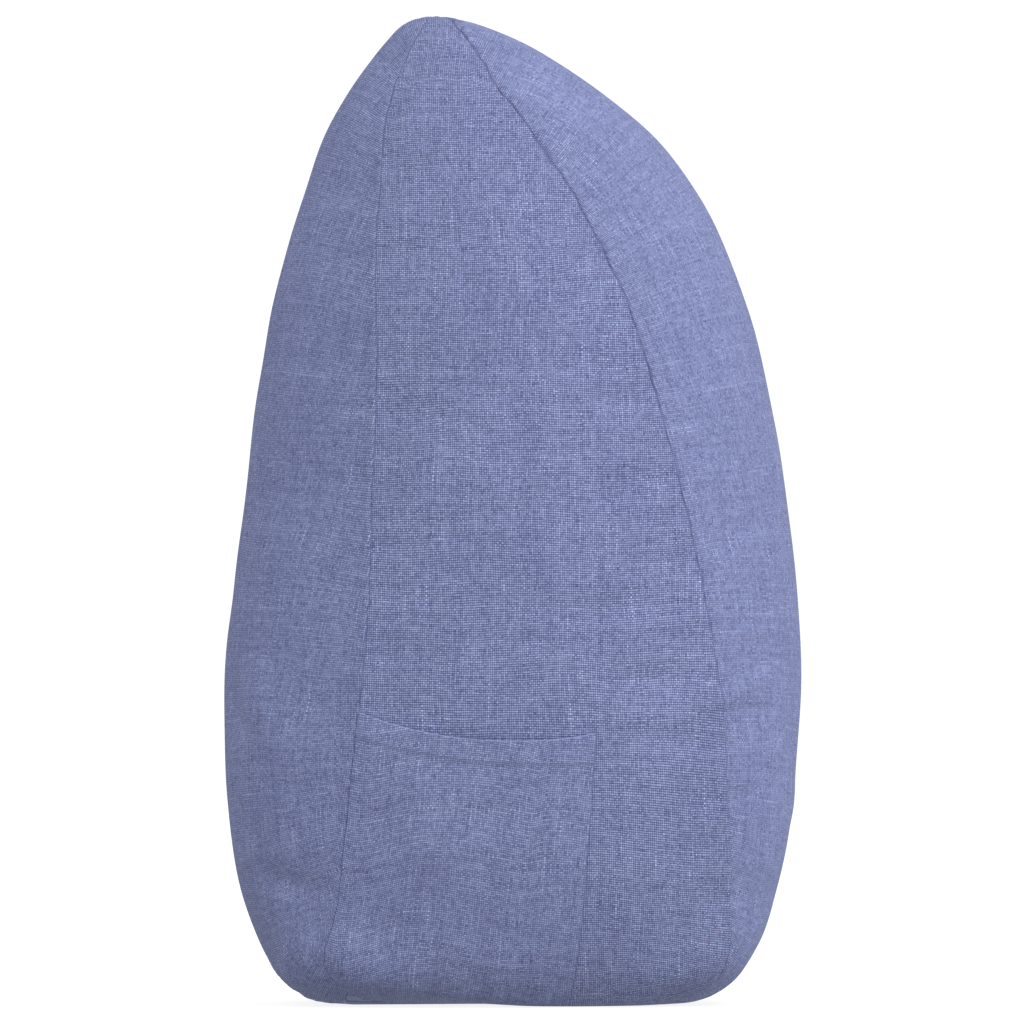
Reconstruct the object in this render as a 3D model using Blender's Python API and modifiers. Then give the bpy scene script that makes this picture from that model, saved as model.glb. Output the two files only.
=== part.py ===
"""High-back bean bag cushion: a filled teardrop body and the patch pocket on its side.

Metres, +Z up. The origin is on the floor, under the middle of the bag.
The front, with the deeper bulge, faces +X and the back faces -X.
The pocket is on the side panel that faces -Y.

The body is a UV sphere laid over the bag's own sections, so its columns follow the four
upright seams and its lowest rows are the flat base. The pocket is a grid laid on the same
surface, with a slack mouth that stands off the body.
"""

import math
from collections import namedtuple

import bmesh
import bpy
import numpy as np

MM = 0.001

# Each row is one level section of the body, from the floor to the crest, in millimetres.
# The edges are where the section ends along X. The seams are the X of the two upright seams
# on each side. The ridge is how far the seams stand out of the round, and the power of 2
# gives an ellipse, while more gives a squarer section.
Section = namedtuple(
    "Section", "height back_edge front_edge half_width back_seam front_seam ridge power"
)
SECTIONS = (
    Section(0, -167, 152, 166, -126, 136, 5, 2.8),
    Section(4, -202, 188, 204, -150, 166, 6, 2.8),
    Section(23, -234, 226, 233, -165, 194, 6, 2.8),
    Section(55, -250, 248, 252, -173, 207, 7, 2.7),
    Section(115, -273, 267, 276, -168, 213, 7, 2.6),
    Section(206, -287, 284, 293, -159, 211, 7, 2.5),
    Section(297, -289, 290, 299, -149, 207, 7, 2.35),
    Section(388, -284, 290, 297, -140, 193, 7, 2.2),
    Section(510, -267, 278, 284, -136, 167, 7, 2.1),
    Section(632, -253, 257, 263, -132, 135, 6, 2.05),
    Section(693, -245, 242, 250, -133, 116, 6, 2.0),
    Section(754, -228, 220, 231, -133, 89, 6, 2.0),
    Section(814, -211, 191, 207, -130, 58, 5, 2.0),
    Section(875, -191, 146, 175, -126, 19, 5, 2.0),
    Section(917, -167, 97, 143, -118, -13, 4, 2.0),
    Section(949, -145, 50, 108, -106, -31, 3, 2.0),
    Section(974, -126, 8, 78, -95, -47, 2, 2.0),
    Section(990, -111, -29, 47, -87, -59, 1, 2.0),
    Section(998, -95, -57, 20, -83, -66, 0, 2.0),
    Section(1000, -76, -76, 0, -76, -76, 0, 2.0),
)
RIDGE_REACH = 45 * MM  # the seam's ridge falls to a third this far from the seam
WIDEST_SEAM = 0.98  # a seam stays inside this share of its section's half length

# The main soft folds. The turn is the bearing of the middle in degrees, 0 at the front,
# -90 at the pocket side and 180 at the back. The tilt is the rise of the fold's run.
# Lengths and widths are in millimetres, and a trough has a negative height.
Fold = namedtuple("Fold", "turn level tilt length width height")
FOLDS = (
    Fold(-66, 605, 10, 60, 18, -4.5),
    Fold(-67, 519, 10, 90, 18, -4),
    Fold(-70, 396, 4, 140, 18, -3),
    Fold(-62, 330, 4, 95, 18, -3.5),
    Fold(-50, 304, 14, 180, 18, 4),
    Fold(-24, 240, 25, 120, 20, -2.5),
    Fold(-18, 185, 30, 120, 22, 2.5),
    Fold(-142, 288, -30, 115, 34, 6),
    Fold(-152, 184, -38, 110, 18, -2.5),
    Fold(-139, 124, -10, 115, 18, -5.5),
    Fold(-133, 26, 2, 150, 50, 16),
    Fold(-131, 62, 2, 110, 24, 6),
    Fold(-40, 40, 6, 150, 44, 9),
    Fold(170, 420, -12, 180, 28, -2),
    Fold(150, 150, 10, 170, 24, -5),
    Fold(100, 330, 6, 170, 28, -4),
    Fold(75, 90, -4, 170, 26, 6),
    Fold(55, 520, 10, 130, 22, -4),
    Fold(66, 640, -8, 90, 18, -4),
    Fold(20, 600, -6, 160, 28, -2.5),
)
SETTLE = 8 * MM  # ridges and folds die out over about this height above the floor
LEVEL_OUT = 35 * MM  # and below about this height they push outwards, never down

# The body's mesh: columns of each half panel or panel on one side, and rows.
FRONT_COLUMNS = 12  # from the middle of the front to the front seam
SIDE_COLUMNS = 18
BACK_COLUMNS = 13
BASE_ROWS = 3
UPRIGHT_ROWS = 58
CROWDING = 0.55  # how much closer the columns stand beside a seam

# The pocket, sewn into the back seam and the base seam of the pocket side.
POCKET_COLUMNS = 20
POCKET_ROWS_BELOW_HEM = 20
POCKET_ROWS_IN_HEM = 3
POCKET_ROW_EASING = 1.35  # above 1, the rows stand closer where the body turns under
POCKET_BOTTOM = 13 * MM
MOUTH_AT_EDGE = 281 * MM  # height of the mouth at the pocket's free front edge
MOUTH_AT_SEAM = 297 * MM
MOUTH_SAG = 14 * MM
FREE_EDGE_LOW = 55 * MM  # X of the free front edge at the base
FREE_EDGE_HIGH = 82 * MM  # and at the mouth
FREE_EDGE_BEND = 0.6  # 1 is a straight free edge, and less bows it forward
SEAM_MARGIN = 3 * MM  # between the pocket's edge and the middle of the back seam
HEM_DEPTH = 24 * MM
HEM_STEP = 3 * MM  # the slope where the hem's second layer ends
CLOTH = 2 * MM
HEM_CLOTH = 3 * MM
SEWN_GAP = 0.75 * MM  # between the pocket's sewn edges and the body
LOOSE_GAP = 1.0 * MM  # added where the pocket is only laid on the body
MOUTH_GAP = 13 * MM  # added at the middle of the slack mouth
SLACK_ARCH = 1.1  # how the slack falls off towards the pocket's sides
SLACK_DROP = 1.6  # and towards its bottom
LOOSE_SIDE = 0.08  # share of the width over which the sewn side edges let go
LOOSE_FOOT = 0.16  # share of the height over which the bottom edge lets go

BLUE_CLOTH = (0.196, 0.223, 0.397, 1.0)
POCKET_CLOTH = (0.180, 0.206, 0.370, 1.0)
CLOTH_ROUGHNESS = 0.92

COLLECTION = "high_back_bean_bag_cushion"


def hermite(knots, values, at):
    """A smooth curve through values at knots, read at the places in at."""
    slopes = np.gradient(values, knots)
    left = np.clip(np.searchsorted(knots, at, side="right") - 1, 0, len(knots) - 2)
    span = knots[left + 1] - knots[left]
    t = (at - knots[left]) / span
    start = (1 + 2 * t) * (1 - t) ** 2 * values[left] + t * (1 - t) ** 2 * span * slopes[left]
    end = t**2 * (3 - 2 * t) * values[left + 1] - t**2 * (1 - t) * span * slopes[left + 1]
    return start + end


def section_knots():
    """How far up the outline each section lies, as a share of the whole way."""
    heights = np.array([s.height for s in SECTIONS], float)
    reach = np.array([s.front_edge - s.back_edge for s in SECTIONS], float) / 2
    steps = np.hypot(np.diff(heights), np.diff(reach))
    return np.concatenate([[0.0], np.cumsum(steps)]) / steps.sum()


KNOTS = section_knots()


def section_at(rise):
    """The section at a share of the way up the outline, in metres."""
    columns = []
    for name in Section._fields:
        values = np.array([getattr(s, name) for s in SECTIONS], float)
        columns.append(hermite(KNOTS, values, rise))
    section = Section(*columns)
    return Section(*[c * MM for c in section[:-1]], section.power)


def rise_at_height(height):
    """The share of the way up at which the body reaches a height in metres."""
    shares = np.linspace(0, 1, 801)
    return np.interp(height, section_at(shares).height, shares)


def seam_angles(section):
    """The angles of the front and back seams in the section's own round."""
    middle = (section.front_edge + section.back_edge) / 2
    half = np.maximum((section.front_edge - section.back_edge) / 2, 1e-9)
    angles = []
    for seam in (section.front_seam, section.back_seam):
        share = np.clip((seam - middle) / half, -WIDEST_SEAM, WIDEST_SEAM)
        bent = np.sign(share) * np.abs(share) ** (section.power / 2)
        angles.append(np.arccos(bent))
    return angles


def round_point(angle, rise):
    """The body without its ridges and folds. The angle is 0 at the front and grows to +Y."""
    section = section_at(rise)
    middle = (section.front_edge + section.back_edge) / 2
    half = (section.front_edge - section.back_edge) / 2
    power = 2 / section.power
    along = np.sign(np.cos(angle)) * np.abs(np.cos(angle)) ** power
    across = np.sign(np.sin(angle)) * np.abs(np.sin(angle)) ** power
    x = middle + half * along
    y = section.half_width * across
    return np.stack([x, y, section.height + 0 * x], axis=-1)


def outward(angle, rise):
    """The body's outward direction, from small steps around and up."""
    step = 1e-3
    around = round_point(angle + step, rise) - round_point(angle - step, rise)
    higher = np.minimum(rise + step, 1.0)
    lower = np.maximum(rise - step, 0.0)
    upward = round_point(angle, higher) - round_point(angle, lower)
    normal = np.cross(around, upward)
    length = np.linalg.norm(normal, axis=-1, keepdims=True)
    return normal / np.maximum(length, 1e-12)


def fold_height(point):
    """The sum of the soft folds at points of the round body."""
    bearing = np.arctan2(point[..., 1], point[..., 0])
    radius = np.hypot(point[..., 0], point[..., 1])
    total = np.zeros(bearing.shape)
    for fold in FOLDS:
        turn = bearing - math.radians(fold.turn)
        turn = (turn + math.pi) % math.tau - math.pi
        around = turn * radius
        above = point[..., 2] - fold.level * MM
        tilt = math.radians(fold.tilt)
        run = around * math.cos(tilt) + above * math.sin(tilt)
        off = above * math.cos(tilt) - around * math.sin(tilt)
        along = np.exp(-((run / (fold.length * MM / 2)) ** 4))
        total += fold.height * MM * along * np.exp(-((off / (fold.width * MM)) ** 2))
    return total


def body_point(angle, rise):
    """The body's surface: the round, the ridges at the seams and the folds."""
    section = section_at(rise)
    point = round_point(angle, rise)
    front, back = seam_angles(section)
    size = (section.half_width + (section.front_edge - section.back_edge) / 2) / 2
    nearest = np.minimum(abs(abs(angle) - front), abs(abs(angle) - back)) * size
    ridge = section.ridge * np.exp(-nearest / RIDGE_REACH)
    settle = 1 - np.exp(-((point[..., 2] / SETTLE) ** 2))
    raised = (ridge + fold_height(point)) * settle
    push = outward(angle, rise)
    push[..., 2] *= 1 - np.exp(-((point[..., 2] / LEVEL_OUT) ** 2))
    return point + raised[..., None] * push


def crowded(share):
    """Shares of a whole panel, closer together at both of its seams."""
    return share - CROWDING * np.sin(math.tau * share) / math.tau


def crowded_at_end(share):
    """Shares of a half panel, closer together at its seam, where the share is 1."""
    return share + CROWDING * np.sin(math.pi * share) / math.pi


def column_angle(column, rise):
    """The angle of a column of the body's mesh, counted from the middle of the front."""
    front, back = seam_angles(section_at(rise))
    side_end = FRONT_COLUMNS + SIDE_COLUMNS
    on_front = front * crowded_at_end(np.clip(column / FRONT_COLUMNS, 0, 1))
    side_share = crowded(np.clip((column - FRONT_COLUMNS) / SIDE_COLUMNS, 0, 1))
    back_share = 1 - crowded_at_end(1 - np.clip((column - side_end) / BACK_COLUMNS, 0, 1))
    return on_front + (back - front) * side_share + (math.pi - back) * back_share


def fabric(name, colour):
    """A matt cloth material of one colour."""
    material = bpy.data.materials.new(name)
    material.use_nodes = True
    shader = material.node_tree.nodes["Principled BSDF"]
    shader.inputs["Base Color"].default_value = colour
    shader.inputs["Roughness"].default_value = CLOTH_ROUGHNESS
    shader.inputs["Metallic"].default_value = 0.0
    material.diffuse_color = colour
    return material


def add_object(name, bm, material, collection):
    """Makes the bmesh a smooth-shaded object in the collection."""
    mesh = bpy.data.meshes.new(name)
    bm.to_mesh(mesh)
    bm.free()
    mesh.materials.append(material)
    mesh.shade_smooth()
    made = bpy.data.objects.new(name, mesh)
    collection.objects.link(made)
    return made


def make_body(collection):
    """The filled body: a UV sphere whose points go to the bag's sections."""
    columns = 2 * (FRONT_COLUMNS + SIDE_COLUMNS + BACK_COLUMNS)
    rows = BASE_ROWS + UPRIGHT_ROWS
    bm = bmesh.new()
    bmesh.ops.create_uvsphere(bm, u_segments=columns, v_segments=rows, radius=1)
    places = np.array([v.co[:] for v in bm.verts])
    row = np.round(rows * (1 - np.arccos(np.clip(places[:, 2], -1, 1)) / math.pi))
    longitude = np.arctan2(places[:, 1], places[:, 0])
    column = np.round(longitude / math.tau * columns)
    rise = np.clip((row - BASE_ROWS) / UPRIGHT_ROWS, 0, 1)
    angle = column_angle(np.abs(column), rise) * np.sign(column)
    points = body_point(angle, rise)
    on_base = row < BASE_ROWS
    spread = (row[on_base] / BASE_ROWS)[:, None]
    points[on_base] *= spread
    points[row <= BASE_ROWS, 2] = 0.0
    for vertex, point in zip(bm.verts, points):
        vertex.co = point
    return add_object("filled_body", bm, fabric("blue_cloth", BLUE_CLOTH), collection)


def pocket_layout(across, level):
    """The angle and the rise of a spot of the pocket.

    Across is 0 at the free front edge and 1 at the back seam. Level is 0 at the bottom
    and 1 at the mouth, which sags between its ends.
    """
    straight = MOUTH_AT_EDGE + (MOUTH_AT_SEAM - MOUTH_AT_EDGE) * across
    mouth = straight - MOUTH_SAG * 4 * across * (1 - across)
    height = POCKET_BOTTOM + (mouth - POCKET_BOTTOM) * level
    rise = rise_at_height(height)
    section = section_at(rise)
    middle = (section.front_edge + section.back_edge) / 2
    half = (section.front_edge - section.back_edge) / 2
    free_x = FREE_EDGE_LOW + (FREE_EDGE_HIGH - FREE_EDGE_LOW) * level**FREE_EDGE_BEND
    free_angle = np.arccos(((free_x - middle) / half) ** (section.power / 2))
    back = seam_angles(section)[1] - SEAM_MARGIN / half
    return -(free_angle + (back - free_angle) * across), rise


def pocket_levels():
    """The levels of the grid's rows: below the hem, its step, and inside the hem."""
    depth = (MOUTH_AT_EDGE + MOUTH_AT_SEAM) / 2 - POCKET_BOTTOM
    hem_start = 1 - (HEM_DEPTH + HEM_STEP) / depth
    hem_full = 1 - HEM_DEPTH / depth
    below = hem_start * np.linspace(0, 1, POCKET_ROWS_BELOW_HEM + 1) ** POCKET_ROW_EASING
    inside = np.linspace(hem_full, 1, POCKET_ROWS_IN_HEM + 1)
    return np.concatenate([below, inside])


def make_pocket(collection):
    """The patch pocket: a grid on the body's side with the cloth's thickness."""
    levels = pocket_levels()
    rows = len(levels) - 1
    bm = bmesh.new()
    bmesh.ops.create_grid(bm, x_segments=POCKET_COLUMNS, y_segments=rows, size=0.5)
    places = np.array([v.co[:] for v in bm.verts])
    column = np.round((0.5 - places[:, 0]) * POCKET_COLUMNS)
    row = np.round((places[:, 1] + 0.5) * rows).astype(int)
    across = column / POCKET_COLUMNS
    level = levels[row]
    angle, rise = pocket_layout(across, level)
    inside = np.sin(math.pi * across)
    from_side = np.clip(np.minimum(across, 1 - across) / LOOSE_SIDE, 0, 1)
    loose = LOOSE_GAP * from_side * np.clip(level / LOOSE_FOOT, 0, 1)
    slack = MOUTH_GAP * inside**SLACK_ARCH * level**SLACK_DROP
    gap = SEWN_GAP + loose + slack
    points = body_point(angle, rise) + gap[:, None] * outward(angle, rise)
    for vertex, point in zip(bm.verts, points):
        vertex.co = point
    pocket = add_object("side_pocket", bm, fabric("pocket_cloth", POCKET_CLOTH), collection)

    hem = pocket.vertex_groups.new(name="hem")
    hem.add(np.nonzero(row > POCKET_ROWS_BELOW_HEM)[0].tolist(), 1.0, "REPLACE")
    cloth = pocket.modifiers.new("cloth thickness", "SOLIDIFY")
    cloth.thickness = HEM_CLOTH
    cloth.offset = 1
    cloth.vertex_group = hem.name
    cloth.thickness_vertex_group = CLOTH / HEM_CLOTH
    return pocket


def main():
    """Clears the scene and models the cushion."""
    for old in list(bpy.data.objects):
        bpy.data.objects.remove(old, do_unlink=True)
    collection = bpy.data.collections.new(COLLECTION)
    bpy.context.scene.collection.children.link(collection)
    make_body(collection)
    make_pocket(collection)


main()
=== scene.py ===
"""The looks of a high-back bean bag cushion in slubby blue linen-look cloth.

The bag stands on its own flat base, front to +X, with the pocket on the side facing -Y.
"""

import math
from collections import namedtuple

import bpy
import numpy as np
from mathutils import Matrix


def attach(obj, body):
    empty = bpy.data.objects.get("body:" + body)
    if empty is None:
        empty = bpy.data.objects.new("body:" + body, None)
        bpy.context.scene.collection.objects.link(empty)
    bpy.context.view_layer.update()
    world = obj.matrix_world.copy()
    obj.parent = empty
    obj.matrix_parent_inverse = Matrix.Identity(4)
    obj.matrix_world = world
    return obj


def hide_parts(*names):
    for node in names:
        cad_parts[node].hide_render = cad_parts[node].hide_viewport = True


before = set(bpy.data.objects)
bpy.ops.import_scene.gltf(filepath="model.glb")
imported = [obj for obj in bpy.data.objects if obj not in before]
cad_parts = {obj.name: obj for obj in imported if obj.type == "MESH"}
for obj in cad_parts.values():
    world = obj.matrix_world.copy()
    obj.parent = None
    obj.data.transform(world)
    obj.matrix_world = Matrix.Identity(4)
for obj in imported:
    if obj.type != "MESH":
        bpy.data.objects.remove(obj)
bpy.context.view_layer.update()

# The filled cover
# The real piece is a loose-filled bag of one plain-woven cloth: a front, a back, two sides
# and a base, sewn right sides together with 10 mm seams. The filling pushes every panel into
# a crown, and the seams, four layers thick, stand out as soft ridges between them.

MM = 0.001

# Each row is one level section from the floor to the crest, in millimetres: its ends and its
# seams along X, its half width, and how far the seams stand out. A power of 2 is an ellipse.
Section = namedtuple(
    "Section", "height back_edge front_edge half_width back_seam front_seam ridge power"
)
SECTIONS = (
    Section(0, -167, 152, 166, -126, 136, 5, 2.8),
    Section(4, -202, 188, 204, -150, 166, 6, 2.8),
    Section(23, -234, 226, 233, -165, 194, 6, 2.8),
    Section(55, -250, 248, 252, -173, 207, 7, 2.7),
    Section(115, -273, 267, 276, -168, 213, 7, 2.6),
    Section(206, -287, 284, 293, -159, 211, 7, 2.5),
    Section(297, -289, 290, 299, -149, 207, 7, 2.35),
    Section(388, -284, 290, 297, -140, 193, 7, 2.2),
    Section(510, -267, 278, 284, -136, 167, 7, 2.1),
    Section(632, -253, 257, 263, -132, 135, 6, 2.05),
    Section(693, -245, 242, 250, -133, 116, 6, 2.0),
    Section(754, -228, 220, 231, -133, 89, 6, 2.0),
    Section(814, -211, 191, 207, -130, 58, 5, 2.0),
    Section(875, -191, 146, 175, -126, 19, 5, 2.0),
    Section(917, -167, 97, 143, -118, -13, 4, 2.0),
    Section(949, -145, 50, 108, -106, -31, 3, 2.0),
    Section(974, -126, 8, 78, -95, -47, 2, 2.0),
    Section(990, -111, -29, 47, -87, -59, 1, 2.0),
    Section(998, -95, -57, 20, -83, -66, 0, 2.0),
    Section(1000, -76, -76, 0, -76, -76, 0, 2.0),
)
RIDGE_REACH = 45 * MM
WIDEST_SEAM = 0.98  # a seam stays inside this share of its section's half length
SETTLE = 8 * MM  # ridges and folds die out over about this height above the floor
LEVEL_OUT = 35 * MM  # and below about this height they push outwards, never down
NEAR_FRONT_SEAM, NEAR_BACK_SEAM, BACK_MIDDLE = 1, 3, 4  # places around the bag
FAR_BACK_SEAM, FAR_FRONT_SEAM, ONCE_AROUND = 5, 7, 8

# The turn is the bearing of a fold's middle in degrees, 0 at the front and -90 at the pocket,
# and the tilt is the rise of its run. The rest is in millimetres, and troughs are negative.
Fold = namedtuple("Fold", "turn level tilt length width height")
FOLDS = (
    Fold(-100, 928, -20, 30, 8, -2),
    Fold(-82, 862, -30, 36, 9, -2.6),
    Fold(-65, 736, -25, 44, 10, -2.2),
    Fold(-66, 605, 10, 60, 14, -6),
    Fold(-67, 519, 10, 90, 17, -4.5),
    Fold(-70, 396, 4, 140, 14, -3.6),
    Fold(-62, 327, 4, 95, 13, -4.2),
    Fold(-50, 304, 14, 180, 12, 3.8),
    Fold(-55, 263, 12, 70, 13, -3),
    Fold(-24, 240, 25, 120, 18, -2.5),
    Fold(-18, 185, 30, 120, 20, 2.5),
    Fold(-142, 288, -30, 115, 34, 6),
    Fold(-157, 298, -30, 90, 16, -3),
    Fold(-152, 184, -38, 110, 14, -2.5),
    Fold(-139, 124, -10, 115, 15, -6.5),
    Fold(-133, 26, 2, 150, 50, 18),
    Fold(-131, 62, 2, 110, 23, 8),
    Fold(-40, 40, 6, 150, 44, 9),
    Fold(170, 420, -12, 180, 28, -1.5),
    Fold(150, 150, 10, 170, 22, -5),
    Fold(100, 330, 6, 170, 26, -4),
    Fold(75, 90, -4, 170, 24, 6),
    Fold(55, 520, 10, 130, 20, -4),
    Fold(66, 640, -8, 90, 14, -4),
    Fold(20, 600, -6, 160, 26, -2.5),
)


def hermite(knots, values, at):
    """A cubic through values at knots, each slope being the finite difference there."""
    slopes = np.gradient(values, knots)
    left = np.clip(np.searchsorted(knots, at, side="right") - 1, 0, len(knots) - 2)
    span = knots[left + 1] - knots[left]
    t = (at - knots[left]) / span
    start = (1 + 2 * t) * (1 - t) ** 2 * values[left] + t * (1 - t) ** 2 * span * slopes[left]
    end = t**2 * (3 - 2 * t) * values[left + 1] - t**2 * (1 - t) * span * slopes[left + 1]
    return start + end


def section_knots():
    """The share of the outline's length below each section."""
    heights = np.array([s.height for s in SECTIONS], float)
    reach = np.array([s.front_edge - s.back_edge for s in SECTIONS], float) / 2
    steps = np.hypot(np.diff(heights), np.diff(reach))
    return np.concatenate([[0.0], np.cumsum(steps)]) / steps.sum()


KNOTS = section_knots()


def section_at(rise):
    """The section at a share of the way up, each of its sizes read from a cubic."""
    table = np.array(SECTIONS, float).T
    *sizes, power = [hermite(KNOTS, column, rise) for column in table]
    return Section(*[size * MM for size in sizes], power)


def middle_and_half(section):
    """The middle of a section along X and half its length."""
    middle = (section.front_edge + section.back_edge) / 2
    half = np.maximum((section.front_edge - section.back_edge) / 2, 1e-9)
    return middle, half


def seam_angles(section):
    """The angle at which each seam's X is met: arccos of its share of the half length."""
    middle, half = middle_and_half(section)
    angles = []
    for seam in (section.front_seam, section.back_seam):
        share = np.clip((seam - middle) / half, -WIDEST_SEAM, WIDEST_SEAM)
        angles.append(np.arccos(np.sign(share) * np.abs(share) ** (section.power / 2)))
    return angles


def angle_at(around, rise):
    """The angle of a place around: even shares of each panel between its seams' angles."""
    front, back = seam_angles(section_at(rise))
    near = np.minimum(around, ONCE_AROUND - around)
    on_front = front * np.clip(near, 0, NEAR_FRONT_SEAM)
    on_side = (back - front) * np.clip((near - NEAR_FRONT_SEAM) / 2, 0, 1)
    on_back = (math.pi - back) * np.clip(near - NEAR_BACK_SEAM, 0, 1)
    side = np.where(around <= BACK_MIDDLE, -1.0, 1.0)
    return side * (on_front + on_side + on_back)


def round_point(angle, rise):
    """A superellipse: x is middle + half * cos^(2/power), y is width * sin^(2/power)."""
    section = section_at(rise)
    middle, half = middle_and_half(section)
    power = 2 / section.power
    along = np.sign(np.cos(angle)) * np.abs(np.cos(angle)) ** power
    across = np.sign(np.sin(angle)) * np.abs(np.sin(angle)) ** power
    x = middle + half * along
    return np.stack([x, section.half_width * across, section.height + 0 * x], axis=-1)


def unit(vectors):
    """Each vector over its own length."""
    length = np.linalg.norm(vectors, axis=-1, keepdims=True)
    return vectors / np.maximum(length, 1e-12)


def outward(angle, rise):
    """The cross product of a small step around and a small step up, made a unit."""
    step = 1e-3
    aside = round_point(angle + step, rise) - round_point(angle - step, rise)
    higher = round_point(angle, np.minimum(rise + step, 1.0))
    lower = round_point(angle, np.maximum(rise - step, 0.0))
    return unit(np.cross(aside, higher - lower))


def bearing_from(turn, point):
    """A point's bearing about Z in radians, counted from a turn in degrees."""
    bearing = np.arctan2(point[..., 1], point[..., 0]) - math.radians(turn)
    return (bearing + math.pi) % math.tau - math.pi


def bell(value, width):
    """One at zero, falling off both ways: e to the power of less value over width squared."""
    return np.exp(-((value / width) ** 2))


def fold_height(point):
    """The sum of the folds, each a bell across its run and a flat-topped bell along it."""
    radius = np.hypot(point[..., 0], point[..., 1])
    total = np.zeros(radius.shape)
    for fold in FOLDS:
        aside = bearing_from(fold.turn, point) * radius
        above = point[..., 2] - fold.level * MM
        tilt = math.radians(fold.tilt)
        run = aside * math.cos(tilt) + above * math.sin(tilt)
        off = above * math.cos(tilt) - aside * math.sin(tilt)
        along = np.exp(-((run / (fold.length * MM / 2)) ** 4))
        total += fold.height * MM * along * bell(off, fold.width * MM)
    return total


def unevenness(point, size, seed):
    """The mean of many plane waves of about one wavelength, in directions drawn by lot."""
    draw = np.random.default_rng(seed)
    waves = 18
    total = np.zeros(point.shape[:-1])
    for _ in range(waves):
        direction = unit(draw.normal(size=3))
        length = size * draw.uniform(0.7, 1.5)
        phase = draw.uniform(0, math.tau)
        total += np.sin(point @ direction * math.tau / length + phase)
    return total / math.sqrt(waves / 2)


def ripples(run, lengths, seed):
    """A sum of sines along a seam, one for each wavelength, so that no two gathers match."""
    draw = np.random.default_rng(seed)
    total = np.zeros(np.shape(run))
    for length in lengths:
        total += np.sin(run * math.tau / length + draw.uniform(0, math.tau))
    return total / math.sqrt(len(lengths))


LUMP_SIZE = 150 * MM
LUMP_HEIGHT = 0.6 * MM


def filled_form(around, rise, folded=1.0):
    """The crowned form: the round, the ridges at the seams, a share of the folds, and lumps,
    all of which settle to nothing at the floor."""
    section = section_at(rise)
    angle = angle_at(around, rise)
    point = round_point(angle, rise)
    front, back = seam_angles(section)
    size = (section.half_width + middle_and_half(section)[1]) / 2
    nearest = np.minimum(abs(abs(angle) - front), abs(abs(angle) - back)) * size
    ridge = section.ridge * np.exp(-nearest / RIDGE_REACH)
    settle = 1 - bell(point[..., 2], SETTLE)
    lumps = LUMP_HEIGHT * unevenness(point, LUMP_SIZE, seed=4)
    raised = (ridge + folded * fold_height(point) + lumps) * settle
    push = outward(angle, rise)
    push[..., 2] *= 1 - bell(point[..., 2], LEVEL_OUT)
    return point + raised[..., None] * push


CROWDING = 9  # how many times more closely the columns stand at a seam, less one
CROWDING_REACH = 0.022  # and the share of a panel over which that falls to a third
ROW_EASING = 1.04  # above 1, the rows stand closer together near the base


def crowded(count, ends):
    """Shares from 0 to 1, even along a way that is stretched near the ends that are seams."""
    t = np.linspace(0, 1, 2001)
    pull = ends[0] * np.exp(-t / CROWDING_REACH) + ends[1] * np.exp(-(1 - t) / CROWDING_REACH)
    travelled = np.concatenate([[0], np.cumsum(1 + CROWDING * (pull[1:] + pull[:-1]) / 2)])
    return np.interp(np.linspace(0, 1, count + 1), travelled / travelled[-1], t)


def places_around(half_front, side, half_back):
    """Places around, from the middle of the front, crowded beside the four seams."""
    near_front = crowded(half_front, (0, 1))
    near_side = 1 + 2 * crowded(side, (1, 1))
    near_back = 3 + crowded(half_back, (1, 0))
    near = np.concatenate([near_front[:-1], near_side[:-1], near_back])
    return np.concatenate([near, ONCE_AROUND - near[-2:0:-1]])


def spread(rows):
    """Shares of the way up for a grid's rows: even steps raised to the easing's power."""
    return np.linspace(0, 1, rows + 1) ** ROW_EASING


UPRIGHT_ROWS = 270
BASE_ROWS = 14
around = places_around(half_front=40, side=72, half_back=50)
rise = spread(UPRIGHT_ROWS)
form = filled_form(around[None, :], rise[:, None])
form[-1] = form[-1].mean(0)


def column_of(place):
    """The grid column at a seam's place around."""
    return int(np.argmin(abs(around - place % ONCE_AROUND)))


def arc(points, axis):
    """The length along a grid's lines, summed from the first point."""
    steps = np.linalg.norm(np.diff(points, axis=axis), axis=-1)
    zero = np.zeros_like(np.take(steps, [0], axis=axis))
    return np.concatenate([zero, np.cumsum(steps, axis=axis)], axis=axis)


LEAST_LEAN = 0.05  # least square of the sine between a row and a seam


def seam_distance(points, seam_column):
    """The distance from a seam, square to it: the way along the row times the sine of the
    angle between the row and the seam. It is negative before the seam."""
    closed = np.concatenate([points, points[:, :1]], axis=1)
    along_row = arc(closed, axis=1)
    total = along_row[:, -1:]
    way = along_row[:, :-1] - along_row[:, seam_column][:, None]
    way = (way + total / 2) % np.maximum(total, 1e-9) - total / 2
    seam = points[:, seam_column]
    seam_way = unit(np.gradient(seam, axis=0))
    row_way = unit(points[:, (seam_column + 1) % points.shape[1]] - seam)
    lean = np.sqrt(np.clip(1 - (seam_way * row_way).sum(-1) ** 2, LEAST_LEAN, 1))
    return way * lean[:, None]


def grid_normals(points):
    """Unit normals of a grid closed around, from central differences both ways. The grid
    runs clockwise seen from above, so up crossed with across points outwards."""
    across = np.roll(points, -1, axis=1) - np.roll(points, 1, axis=1)
    return unit(np.cross(np.gradient(points, axis=0), across))


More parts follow.
